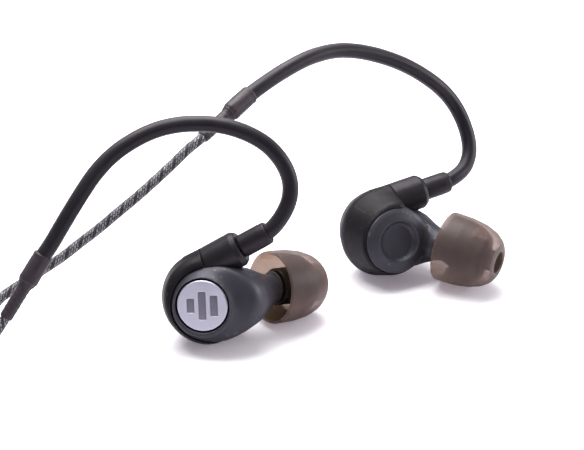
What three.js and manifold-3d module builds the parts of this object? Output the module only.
// Pair of in-ear monitors with over-ear guides, detachable coaxial cable, Y-splitter and 3.5 mm
// plug. Units: millimetres, +Z up. Origin: centre of the splitter's flat underside. The earpieces
// lie towards +X +Y, the main cable leaves towards -X -Y, and the plug points along +Y.
import * as THREE from 'three';
import { mergeVertices } from 'three/addons/utils/BufferGeometryUtils.js';
import Module from 'manifold-3d';

const wasm = await Module();
wasm.setup();

// ---------------------------------------------------------------- driving dimensions
// Facets round a turned piece
const FACETS = { usual: 20, disc: 24, plug: 18, sleeve: 16, small: 14, pin: 12 };

// Earpiece frame. u: connector direction, v: up the drum, w: out through the faceplate.
const DRUM_U = -0.45;              // drum centre
const DRUM_V = -0.6;
const DRUM_R = 6.45;               // outer radius of the round housing
const DRUM_FRONT = 5.8;            // w of the housing's front lip
const DRUM_BACK = -6.95;           // w of the face opposite the faceplate
const RING_BACK = -5.85;           // w of the housing ring's rear edge
const PLATE_TOP = -5.95;           // w of the back plate's inner face
const DISH_FLOOR = -6.4;           // w of the floor of the dish in the back plate
const DISH_FLOOR_R = 3.4;
const DISH_R = 3.8;                // dish radius at the outer face
const WRAP_R = 8.38;               // outer radius of the black band round the drum
const WRAP_GAP = 0.13;             // radial gap between band and drum
const DISC_R = 4.55;               // faceplate disc radius
const DISC_TOP_R = 4.4;            // the same inside its chamfers
const BEZEL_R = 5.05;              // opening in the housing front
const BEZEL_FLOOR = 4.0;
const DRIVER_U = DRUM_U - 1.05;    // driver centre, clear of the connector barrel
const DRIVER_V = DRUM_V - 0.85;
const BARREL_V = 5.045;            // connector axis
const BARREL_W = 0.264;
const BARREL_R = 3.2;              // connector barrel radius
const BARREL_CLEAR_R = BARREL_R + 0.3;
const BARREL_CLEAR_END = 12;
const BARREL_START = 3.05;         // stations along u
const BARREL_MOUTH = 9.5;
const SLEEVE_START = 9.6;
const SLEEVE_END = 14.91;
const SLEEVE_R = 2.03;             // cable-side sleeve radius
const NOZZLE_TILT = 41.4;          // nozzle axis, degrees from -w
const NOZZLE_TURN = -32.8;         // nozzle axis, degrees from u towards v
const NOZZLE_START = [1.674, 0, 1.606];
const NOZZLE_BORE_R = 1.75;
const NOZZLE_R = 2.2;
const TIP_RIM_AT = 11.78;          // ear-tip rim, distance along the nozzle axis
const TIP_RIM_R = 6.45;
const TIP_END = 22.6;
const TIP_BORE_R = 1.95;

const GUIDE_R = 1.4;               // ear-guide tube radius
const CABLE_R = 0.85;              // braided twin cable radius
const MAIN_R = 1.15;               // main cable radius
const BORE_GAP = 0.1;              // radial gap between a cable and its bore
const BOOT_BIG_R = 1.68;           // heat-shrink boot over the guide tube
const BOOT_SMALL_R = 1.15;         // heat-shrink boot over the cable
const BOOT_BIG_BORE_R = 1.46;
const BOOT_SMALL_BORE_R = 0.92;
const BOOT_STEP = 5.95;
const BOOT_LEN = 12.55;
const TWIN_HALF = 1.15;            // half spacing of the two cables at splitter and slider
const SPLIT_HALF_LEN = 9;
const SPLIT_HALF_W = 3.4;
const SPLIT_H = 5.2;
const AXIS_H = SPLIT_H / 2;        // height of the cable axes in splitter and slider
const SLAB_BEVEL = 0.4;
const SLIDER_AT = 15.2;            // slider centre from the splitter centre
const SLIDER_HALF = 3.2;
const SLIDER_INSET = 0.25;         // slider's top and bottom inside the splitter's
const PLUG_R = 3.0;
const CONTACT_R = 1.72;            // outer radius of the 3.5 mm contacts
const CONTACT_BORE_R = 0.56;       // clears the core pin

// ---------------------------------------------------------------- materials
const FINISHES = {
  gunmetal: { color: 0x4b4c52, roughness: 0.42, metalness: 0.55 },
  black: { color: 0x232224, roughness: 0.62, metalness: 0 },
  blackSoft: { color: 0x2b2a2c, roughness: 0.75, metalness: 0 },
  silver: { color: 0xb2b4c6, roughness: 0.3, metalness: 0.9 },
  gold: { color: 0xc9a24b, roughness: 0.25, metalness: 1 },
  steel: { color: 0x9a9ca2, roughness: 0.3, metalness: 1 },
  guide: { color: 0x3e3a3e, roughness: 0.45, metalness: 0 },
  boot: { color: 0x50464e, roughness: 0.5, metalness: 0 },
  braid: { color: 0x2a2a2d, roughness: 0.6, metalness: 0.1 },
  silicone: { color: 0x6e625f, roughness: 0.35, metalness: 0 },
  film: { color: 0xb9a77c, roughness: 0.4, metalness: 0 },
};

// ---------------------------------------------------------------- meshes and solids
// Welds vertices, drops collapsed triangles and turns the faces outward.
function clean(geometry) {
  const bare = new THREE.BufferGeometry();
  bare.setAttribute('position', geometry.attributes.position);
  bare.setIndex(geometry.index);
  const welded = mergeVertices(bare, 1e-4);
  const position = welded.attributes.position;
  const index = welded.index.array;
  const corner = (i) => new THREE.Vector3().fromBufferAttribute(position, i);
  const kept = [];
  let volume = 0;
  for (let i = 0; i < index.length; i += 3) {
    const [first, second, third] = index.slice(i, i + 3);
    if (first === second || second === third || first === third) continue;
    kept.push(first, second, third);
    volume += corner(first).dot(corner(second).cross(corner(third))) / 6;
  }
  if (volume < 0) {
    for (let i = 0; i < kept.length; i += 3) [kept[i], kept[i + 1]] = [kept[i + 1], kept[i]];
  }
  welded.setIndex(kept);
  return welded;
}

function solid(geometry) {
  const closed = clean(geometry);
  return new wasm.Manifold(new wasm.Mesh({
    numProp: 3,
    vertProperties: new Float32Array(closed.attributes.position.array),
    triVerts: new Uint32Array(closed.index.array),
  }));
}

function toGeometry(manifold) {
  const mesh = manifold.getMesh();
  const geometry = new THREE.BufferGeometry();
  geometry.setAttribute('position', new THREE.BufferAttribute(mesh.vertProperties.slice(), 3));
  geometry.setIndex(Array.from(mesh.triVerts));
  return geometry;
}

function addMesh(parent, name, finish, geometry) {
  const material = new THREE.MeshStandardMaterial(FINISHES[finish]);
  const mesh = new THREE.Mesh(clean(geometry), material);
  mesh.name = name;
  parent.add(mesh);
}

// Point at a distance from a start, along a direction
const along = (start, direction, distance) => start.map((c, i) => c + direction[i] * distance);

// Profiles of turned pieces are [radius, station along the axis] pairs.
const loop = (profile) => [...profile, profile[0]];
const rod = (radius, from, to) => [[0, from], [radius, from], [radius, to], [0, to]];
const pipe = (inner, outer, from, to) => loop([
  [inner, from], [outer, from], [outer, to], [inner, to],
]);

// Gives a function that turns profiles about the axis through origin along direction.
function turnAbout(origin, direction) {
  const axis = new THREE.Vector3(...direction).normalize();
  const rotation = new THREE.Quaternion().setFromUnitVectors(new THREE.Vector3(0, 1, 0), axis);
  return (profile, facets = FACETS.usual) => {
    const points = profile.map(([radius, station]) => new THREE.Vector2(radius, station));
    return new THREE.LatheGeometry(points, facets).applyQuaternion(rotation).translate(...origin);
  };
}

// Round bar along a curve
function bar(points, radius, steps, sides) {
  const vectors = points.map((p) => new THREE.Vector3(...p));
  const path = new THREE.CatmullRomCurve3(vectors, false, 'centripetal');
  path.arcLengthDivisions = 600;
  const outline = Array.from({ length: sides }, (_, i) => {
    const angle = 2 * Math.PI * i / sides;
    return new THREE.Vector2(radius * Math.cos(angle), radius * Math.sin(angle));
  });
  const shape = new THREE.Shape(outline);
  return new THREE.ExtrudeGeometry(shape, { steps, extrudePath: path, curveSegments: 1 });
}

// ---------------------------------------------------------------- axes of the earpiece
const tilt = THREE.MathUtils.degToRad(NOZZLE_TILT);
const turn = THREE.MathUtils.degToRad(NOZZLE_TURN);
const NOZZLE_DIR = [
  Math.sin(tilt) * Math.cos(turn), Math.sin(tilt) * Math.sin(turn), -Math.cos(tilt),
];
const aboutBand = turnAbout([0, 0, 0], [0, 0, 1]);
const aboutDrum = turnAbout([DRUM_U, DRUM_V, 0], [0, 0, 1]);
const aboutDriver = turnAbout([DRIVER_U, DRIVER_V, 0], [0, 0, 1]);
const aboutConnector = turnAbout([0, BARREL_V, BARREL_W], [1, 0, 0]);
const aboutNozzle = turnAbout(NOZZLE_START, NOZZLE_DIR);

// The horn starts inside the drum and tapers to the nozzle. Its profile is drawn 12 long
// and stretched to the distance between its ends.
const HORN_DRAWN = 12;
const HORN_GAP = 0.25;
const HORN_SIDE = [
  [5.15, 0], [5.3, 3], [5.15, 6], [4.6, 8], [3.75, 10], [3.05, 11.5], [2.9, HORN_DRAWN],
];
const hornStart = [NOZZLE_START[0] + DRUM_U, DRUM_V, NOZZLE_START[2]];
const hornEnd = along(along(NOZZLE_START, NOZZLE_DIR, HORN_DRAWN), [-0.1, -0.3, 0], 1);
const hornSpan = along(hornEnd, hornStart, -1);
const hornStretch = Math.hypot(...hornSpan) / HORN_DRAWN;
const turnHorn = turnAbout(hornStart, hornSpan);
const hornSolid = (profile) => solid(turnHorn(profile.map(([r, s]) => [r, s * hornStretch])));

const horn = hornSolid([[0, 0], ...HORN_SIDE, [0, HORN_DRAWN]]);
const hornKeepout = hornSolid([
  [0, -HORN_GAP],
  ...HORN_SIDE.map(([r, s]) => [r + HORN_GAP, s === HORN_DRAWN ? s + HORN_GAP : s]),
  [0, HORN_DRAWN + HORN_GAP],
]);
const barrelClearance = (from) => (
  solid(aboutConnector(rod(BARREL_CLEAR_R, from, BARREL_CLEAR_END)))
);
const barrelKeepout = barrelClearance(2.75);

// ---------------------------------------------------------------- housing
const DRUM_SIDE = [
  [6.08, RING_BACK], [6.22, -5.1], [6.36, -4], [DRUM_R, -2], [DRUM_R, 2.6],
  [6.3, 4.0], [6.08, 4.9], [5.9, DRUM_FRONT],
];

function housingRing() {
  const innerR = 5.58;
  const body = solid(aboutDrum(loop([
    ...DRUM_SIDE,
    [BEZEL_R, DRUM_FRONT], [BEZEL_R, BEZEL_FLOOR], [innerR, BEZEL_FLOOR], [innerR, RING_BACK],
  ])));
  return toGeometry(body.subtract(barrelKeepout).subtract(hornKeepout));
}

// Back plate and hollow horn in one piece
function housingBase() {
  const plate = solid(aboutDrum([
    [0, DISH_FLOOR], [DISH_FLOOR_R, DISH_FLOOR], [DISH_R, DRUM_BACK], [4.8, DRUM_BACK],
    [5.0, -6.75], [5.9, -6.55], [6.08, -6.3], [6.08, PLATE_TOP], [0, PLATE_TOP],
  ]));
  const cavity = solid(aboutDrum(rod(5.45, PLATE_TOP, 7)));
  const dish = solid(aboutDrum([
    [0, DISH_FLOOR], [DISH_FLOOR_R, DISH_FLOOR], [DISH_R, DRUM_BACK], [DISH_R, -13], [0, -13],
  ]));
  const soundPath = solid(aboutNozzle([
    [0, -1], [3.6, -1], [3.6, 4], [3.3, 6], [2.6, 8], [1.7, 9.6], [1.7, 10.6],
    [NOZZLE_R, 10.6], [NOZZLE_R, 12.02], [5, 12.02], [5, 14], [0, 14],
  ], FACETS.small));
  const body = horn.subtract(cavity).add(plate).subtract(dish).subtract(soundPath);
  return toGeometry(body.subtract(barrelClearance(1.8)));
}

// Half band on the side away from the connector, with a collar under the connector barrel
function wrapCover() {
  const band = solid(aboutBand(loop([
    [5.6, -6.35], [6.6, -6.35], [7.05, -5.4], [7.6, -3.8], [8.1, -1.9], [WRAP_R, 0.42],
    [8.24, 1.9], [7.85, 3.1], [7.2, 4.1], [6.7, 4.5], [5.6, 4.5],
  ])));
  const half = solid(new THREE.BoxGeometry(12, 24, 24).translate(-5.75, 0, 0));
  const collar = solid(aboutConnector(rod(BARREL_R, -2.5, 2.95)));
  const drum = solid(aboutDrum([
    [0, -8], [6.2, -8], [6.2, RING_BACK],
    ...DRUM_SIDE.slice(1).map(([r, w]) => [r + WRAP_GAP, w]),
    [6.03, 8], [0, 8],
  ]));
  return toGeometry(band.intersect(half).add(collar).subtract(drum).subtract(hornKeepout));
}

const faceplateCarrier = () => aboutDrum(rod(4.93, 4.1, 5.18));

// Disc with three shallow upright grooves
function faceplateDisc() {
  const top = 5.82;
  let disc = solid(aboutDrum([
    [0, 5.25], [DISC_TOP_R, 5.25], [DISC_R, 5.4], [DISC_R, 5.7], [DISC_TOP_R, top], [0, top],
  ], FACETS.disc));
  // groove offset in u, groove height in v
  for (const [offset, height] of [[-1.5, 1.7], [0, 3.1], [1.5, 2.3]]) {
    const groove = new THREE.BoxGeometry(0.8, height, 0.4);
    disc = disc.subtract(solid(groove.translate(offset + DRUM_U, DRUM_V, 5.9)));
  }
  return toGeometry(disc);
}

// ---------------------------------------------------------------- driver
function driverFrame() {
  const back = -3.6;
  const flange = solid(aboutDrum(rod(5.35, back, -2.9)));
  const cup = solid(aboutDriver(rod(3.9, back, -0.8)));
  const bore = solid(aboutDriver(rod(3.35, -5, 1)));
  // the sound path cuts the flange but leaves the cup whole
  const cupClearance = solid(aboutDriver(rod(4.0, -3.7, 2)));
  const soundPath = solid(aboutNozzle(rod(3.3, 2, 9), FACETS.small)).subtract(cupClearance);
  return toGeometry(flange.add(cup).subtract(bore).subtract(barrelKeepout).subtract(soundPath));
}

// Magnet cup with an annular gap for the coil
const driverMagnet = () => aboutDriver([
  [0, -2.3], [1.5, -2.3], [1.5, -0.9], [2.15, -0.9], [2.15, -2.3], [3.25, -2.3],
  [3.25, -0.2], [0, -0.2],
], FACETS.small);

// Domed film with its coil former, one moving piece
const driverDiaphragm = () => aboutDriver([
  [0, -3.75], [1.72, -3.35], [2.5, -3.55], [3.2, -3.3], [3.2, -3.18], [2.5, -3.38],
  [1.92, -3.18], [1.92, -1.7], [1.72, -1.7], [1.72, -3.15], [0, -3.55],
], FACETS.small);

// ---------------------------------------------------------------- nozzle and ear tip
const nozzleTube = () => aboutNozzle(loop([
  [NOZZLE_BORE_R, 10.75], [2.1, 10.75], [2.1, 12.08], [2.85, 12.08], [2.85, 12.5],
  [NOZZLE_R, 12.75], [NOZZLE_R, 17.0], [2.36, 17.5], [2.36, 18.3], [2.1, 18.6],
  [NOZZLE_BORE_R, 18.6],
]), FACETS.small);

const nozzleScreen = () => aboutNozzle(rod(1.67, 18.0, 18.25), FACETS.small);

// Soft flanged tip: core tube with a folded-back dome
const eartip = () => aboutNozzle(loop([
  [TIP_RIM_R - 0.45, TIP_RIM_AT], [TIP_RIM_R, TIP_RIM_AT], [6.46, 13.2], [6.36, 15.6],
  [5.95, 18.2], [5.15, 20.4], [4.1, 21.8], [3.1, 22.4], [TIP_BORE_R + 0.3, TIP_END],
  [TIP_BORE_R, 22.4], [TIP_BORE_R, 19.2], [2.44, 18.9], [2.44, 12.9], [3.3, 12.9],
  [3.3, 19.2], [4.2, 19.5], [5.25, 17.9], [5.8, 15.5], [5.95, 13.2],
]));

// ---------------------------------------------------------------- connector
const connectorBarrel = () => aboutConnector(loop([
  [0.6, BARREL_START], [BARREL_R, BARREL_START], [BARREL_R, 8.75], [2.7, BARREL_MOUTH],
  [1.8, BARREL_MOUTH], [1.8, 8.85], [2.28, 8.85], [2.28, 4.05], [0.6, 4.05],
]), FACETS.sleeve);

// Cup with a centre pin
const coaxSocket = () => aboutConnector([
  [0, 6.3], [0.35, 6.3], [0.35, 4.65], [1.6, 4.65], [1.6, 8.6], [2.2, 8.6],
  [2.2, 4.15], [0, 4.15],
], FACETS.small);

const snapRing = () => aboutConnector(pipe(1.2, 1.48, 6.6, 7.0), FACETS.pin);

// Hollow at the socket end, with a groove for the snap ring
const coaxPlug = () => aboutConnector([
  [0, 6.6], [0.5, 6.6], [0.5, 4.95], [1.05, 4.95], [1.3, 5.2], [1.3, 6.5], [1.12, 6.5],
  [1.12, 7.1], [1.3, 7.1], [1.3, 9.85], [1.62, 9.85], [1.62, 12.0], [0, 12.0],
], FACETS.small);

const connectorSleeve = () => aboutConnector(loop([
  [1.36, SLEEVE_START], [1.88, SLEEVE_START], [SLEEVE_R, 9.8], [SLEEVE_R, 14.7],
  [1.85, SLEEVE_END], [1.48, SLEEVE_END], [1.48, 12.3], [1.7, 12.2], [1.7, 9.77], [1.36, 9.77],
]), FACETS.sleeve);

const EAR_PIECES = [
  ['housing_ring', 'gunmetal', housingRing],
  ['housing_base', 'gunmetal', housingBase],
  ['wrap_cover', 'black', wrapCover],
  ['faceplate_carrier', 'black', faceplateCarrier],
  ['faceplate_disc', 'silver', faceplateDisc],
  ['driver_frame', 'black', driverFrame],
  ['driver_magnet', 'steel', driverMagnet],
  ['driver_diaphragm', 'film', driverDiaphragm],
  ['nozzle_tube', 'gunmetal', nozzleTube],
  ['nozzle_screen', 'steel', nozzleScreen],
  ['eartip', 'silicone', eartip],
  ['connector_barrel', 'black', connectorBarrel],
  ['coax_socket', 'gold', coaxSocket],
  ['snap_ring', 'gold', snapRing],
  ['coax_plug', 'gold', coaxPlug],
  ['connector_sleeve', 'black', connectorSleeve],
];

// ---------------------------------------------------------------- layout of the two sides
// shift moves earpiece, boot and the guide and cable stations (all [x, y, z], before the shift)
// to leave a straight run for the slider. twinSide is the cable's side of the splitter axis.
const SIDES = {
  right: {
    shift: [6.43, 4.24, 0.3],
    twinSide: 1,
    origin: [62.513, 27.960, 8.099],
    u: [0.85369, -0.01174, 0.52065],
    v: [-0.4905, 0.31779, 0.81143],
    w: [-0.17499, -0.94809, 0.26553],
    bootStart: [34.64, 24.75, 17.86],
    bootDir: [-0.523, -0.33, -0.7858],
    guideSteps: 34,
    guide: [
      [75.3, 30.1, 23.0], [76.4, 31.0, 25.6], [76.5, 31.8, 28.1], [75.9, 32.4, 30.1],
      [74.7, 32.9, 32.1], [72.8, 33.4, 34.2], [70.2, 33.7, 35.9], [67.1, 33.9, 37.2],
      [63.7, 34.1, 37.9], [60.7, 34.0, 38.1], [57.5, 33.8, 38.0], [53.6, 33.3, 37.2],
      [49.7, 32.5, 35.5], [46.3, 31.5, 33.3], [43.4, 30.2, 30.5], [41.0, 28.7, 27.3],
      [39.1, 27.5, 24.5], [37.1, 26.2, 21.4], [35.9, 25.4, 19.5],
    ],
    cableSteps: 28,
    cable: [[25.7, 18.6, 4.9], [23.6, 16.6, 3.3], [21.7, 14.9, 2.72]],
  },
  left: {
    shift: [6.4, 4.8, 0],
    twinSide: -1,
    origin: [93.856, 53.100, 8.332],
    u: [0.89077, 0.43509, 0.13126],
    v: [-0.22633, 0.17424, 0.95834],
    w: [-0.39409, 0.88337, -0.25368],
    bootStart: [69.41, 47.68, 37.97],
    bootDir: [-0.6479, -0.6662, -0.3692],
    guideSteps: 38,
    guide: [
      [107.6, 62.0, 15.6], [109.2, 63.7, 16.3], [110.3, 65.8, 18.3], [110.2, 67.5, 20.6],
      [109.3, 68.8, 23.4], [107.8, 69.7, 26.3], [106.0, 69.8, 28.8], [103.1, 69.0, 31.8],
      [98.2, 67.5, 35.5], [93.0, 65.5, 38.3], [88.3, 63.1, 40.2], [84.6, 60.8, 41.1],
      [80.0, 57.0, 41.3], [75.7, 53.2, 40.4], [72.7, 50.5, 39.4],
    ],
    cableSteps: 42,
    cable: [
      [58.8, 37.9, 31.7], [57.1, 36.9, 30.3], [53.7, 35.0, 27.6], [50.2, 33.3, 24.9],
      [46.8, 31.7, 22.5], [43.5, 30.5, 20.0], [40.0, 29.3, 17.6], [37.3, 28.6, 15.6],
      [32.7, 27.2, 12.9], [28.6, 26.0, 10.5], [26.5, 25.2, 9.2], [24.3, 23.2, 6.7],
      [22.2, 20.2, 4.3], [20.4, 17.7, 3.1],
    ],
  },
};
const MAIN_DIR = [-0.8, -0.6, 0];  // direction of the main cable out of the splitter
const ACROSS = [0.6, -0.8, 0];     // across the twin cables
const SPLIT_CENTRE = [0, 0, AXIS_H];

const moved = (point, side) => along(point, side.shift, 1);

function earMatrix(side) {
  const axes = [side.u, side.v, side.w].map((axis) => new THREE.Vector3(...axis));
  return new THREE.Matrix4().makeBasis(...axes).setPosition(...moved(side.origin, side));
}

const onBoot = (side, s) => along(moved(side.bootStart, side), side.bootDir, s);

const onConnector = (side, s) => (
  new THREE.Vector3(s, BARREL_V, BARREL_W).applyMatrix4(earMatrix(side)).toArray()
);

// Point on a twin cable's axis, s from the splitter centre towards the earpieces
const onTwin = (side, s) => (
  along(along(SPLIT_CENTRE, ACROSS, TWIN_HALF * side.twinSide), MAIN_DIR, -s)
);

function earpiece(sideName) {
  const group = new THREE.Group();
  group.matrixAutoUpdate = false;
  group.matrix.copy(earMatrix(SIDES[sideName]));
  for (const [name, finish, build] of EAR_PIECES) {
    addMesh(group, `${sideName}_${name}`, finish, build());
  }
  return group;
}

// ---------------------------------------------------------------- guides, boots and cables
const earGuide = (side) => bar([
  ...[12.5, 13.4, 14.3, 15.2].map((s) => onConnector(side, s)),
  ...side.guide.map((p) => moved(p, side)),
  ...[0.4, 2.2, 4, 5.0, 5.7].map((s) => onBoot(side, s)),
], GUIDE_R, side.guideSteps, 7);

const guideBoot = (side) => turnAbout(onBoot(side, 0), side.bootDir)(loop([
  [BOOT_BIG_BORE_R, 0], [1.58, 0], [BOOT_BIG_R, 0.25], [BOOT_BIG_R, BOOT_STEP - 0.7],
  [BOOT_SMALL_R, BOOT_STEP + 0.2], [BOOT_SMALL_R, BOOT_LEN - 0.2], [1.05, BOOT_LEN],
  [BOOT_SMALL_BORE_R, BOOT_LEN], [BOOT_SMALL_BORE_R, BOOT_STEP],
  [BOOT_BIG_BORE_R, BOOT_STEP - 0.1],
]), FACETS.small);

const twinCable = (side) => bar([
  ...[6.2, 8.5, 11, 13.6].map((s) => onBoot(side, s)),
  ...side.cable.map((p) => moved(p, side)),
  ...[32, 28.5, 25, 21, 17, 13, 9.5, 6.5].map((s) => onTwin(side, s)),
], CABLE_R, side.cableSteps, 6);

// ---------------------------------------------------------------- splitter and slider
// Local x runs along the main cable. The frame is left-handed; clean() turns the faces back.
const splitterFrame = new THREE.Matrix4().makeBasis(
  new THREE.Vector3(...MAIN_DIR),
  new THREE.Vector3(...ACROSS).negate(),
  new THREE.Vector3(0, 0, 1),
);
const placeSplit = (manifold) => toGeometry(manifold).applyMatrix4(splitterFrame);

// Bevelled slab standing on z = 0, with rounded corners in plan
function slab(halfLength, halfWidth, height, radius) {
  const x = halfLength - radius;
  const y = halfWidth - radius;
  const quarter = Math.PI / 2;
  const plan = new THREE.Shape();
  plan.moveTo(-x, -halfWidth);
  plan.lineTo(x, -halfWidth);
  plan.absarc(x, -y, radius, -quarter, 0);
  plan.lineTo(halfLength, y);
  plan.absarc(x, y, radius, 0, quarter);
  plan.lineTo(-x, halfWidth);
  plan.absarc(-x, y, radius, quarter, Math.PI);
  plan.lineTo(-halfLength, -y);
  plan.absarc(-x, -y, radius, Math.PI, 3 * quarter);
  return new THREE.ExtrudeGeometry(plan, {
    depth: height - 2 * SLAB_BEVEL,
    steps: 1,
    curveSegments: 2,
    bevelEnabled: true,
    bevelThickness: SLAB_BEVEL,
    bevelSize: SLAB_BEVEL,
    bevelOffset: -SLAB_BEVEL,
    bevelSegments: 1,
  }).translate(0, 0, SLAB_BEVEL);
}

const cableBore = (cableR, from, to, y) => (
  solid(turnAbout([0, y, AXIS_H], [1, 0, 0])(rod(cableR + BORE_GAP, from, to), FACETS.pin))
);
const cutTwinBores = (body, from, to) => body
  .subtract(cableBore(CABLE_R, from, to, TWIN_HALF))
  .subtract(cableBore(CABLE_R, from, to, -TWIN_HALF));

function splitterBody() {
  const body = solid(slab(SPLIT_HALF_LEN, SPLIT_HALF_W, SPLIT_H, 1.2));
  return placeSplit(cutTwinBores(body, -12, -6.2).subtract(cableBore(MAIN_R, 5.8, 12, 0)));
}

function cableSlider() {
  const block = slab(SLIDER_HALF, SPLIT_HALF_W - 0.3, SPLIT_H - 2 * SLIDER_INSET, 1.0);
  const body = solid(block.translate(-SLIDER_AT, 0, SLIDER_INSET));
  return placeSplit(cutTwinBores(body, -SLIDER_AT - 5, -SLIDER_AT + 5));
}

// ---------------------------------------------------------------- main cable and plug
const PLUG_START = [-27.5, 16.0, PLUG_R + 0.02];
const PLUG_DIR = [0, 1, 0];
const aboutPlug = turnAbout(PLUG_START, PLUG_DIR);
const contactPipe = (from, to) => (
  aboutPlug(pipe(CONTACT_BORE_R, CONTACT_R, from, to), FACETS.pin)
);

const mainCable = () => bar([
  ...[6.1, 7.8, 9.6, 11.4].map((s) => along(SPLIT_CENTRE, MAIN_DIR, s)),
  [-12.6, -9.0, 1.9], [-17.2, -9.6, 1.45], [-22.2, -7.0, 1.4], [-26.0, -2.0, 1.6],
  ...[-11.4, -9, -6.6, -4.2, -1.8].map((s) => along(PLUG_START, PLUG_DIR, s)),
], MAIN_R, 32, 7);

const strainRelief = () => aboutPlug(loop([
  [1.25, -8.5], [1.45, -8.5], [2.0, -5.0], [2.45, 0.4], [1.9, 0.4], [1.25, 0.3],
]), FACETS.sleeve);

const plugBody = () => aboutPlug(loop([
  [1.4, 0.5], [2.75, 0.5], [PLUG_R, 0.8], [PLUG_R, 13.4], [2.7, 14.0], [1.5, 14.0],
  [1.5, 11.0], [1.4, 11.0],
]), FACETS.plug);

// Tip contact on the core pin that carries the other contacts
const contactTip = () => aboutPlug([
  [0, 11.4], [0.5, 11.4], [0.5, 24.55], [1.7, 24.55], [CONTACT_R, 25.1], [1.2, 25.9],
  [CONTACT_R, 26.9], [1.1, 27.9], [0.5, 28.4], [0, 28.5],
], FACETS.pin);

const contactSleeve = () => aboutPlug(loop([
  [CONTACT_BORE_R, 12.0], [1.42, 12.0], [1.42, 14.05], [2.3, 14.05], [2.3, 14.6],
  [CONTACT_R, 14.6], [CONTACT_R, 20.55], [CONTACT_BORE_R, 20.55],
]), FACETS.pin);

// ---------------------------------------------------------------- assembly
const root = new THREE.Group();
for (const name of Object.keys(SIDES)) root.add(earpiece(name));
for (const [name, side] of Object.entries(SIDES)) {
  addMesh(root, `${name}_ear_guide`, 'guide', earGuide(side));
  addMesh(root, `${name}_guide_boot`, 'boot', guideBoot(side));
  addMesh(root, `${name}_cable`, 'braid', twinCable(side));
}
addMesh(root, 'splitter_body', 'black', splitterBody());
addMesh(root, 'cable_slider', 'blackSoft', cableSlider());
addMesh(root, 'main_cable', 'braid', mainCable());
addMesh(root, 'plug_strain_relief', 'blackSoft', strainRelief());
addMesh(root, 'plug_body', 'black', plugBody());
addMesh(root, 'plug_contact_tip', 'gold', contactTip());
addMesh(root, 'plug_insulator_front', 'black', contactPipe(23.8, 24.5));
addMesh(root, 'plug_contact_ring', 'gold', contactPipe(21.35, 23.75));
addMesh(root, 'plug_insulator_rear', 'black', contactPipe(20.6, 21.3));
addMesh(root, 'plug_contact_sleeve', 'gold', contactSleeve());

export default root;
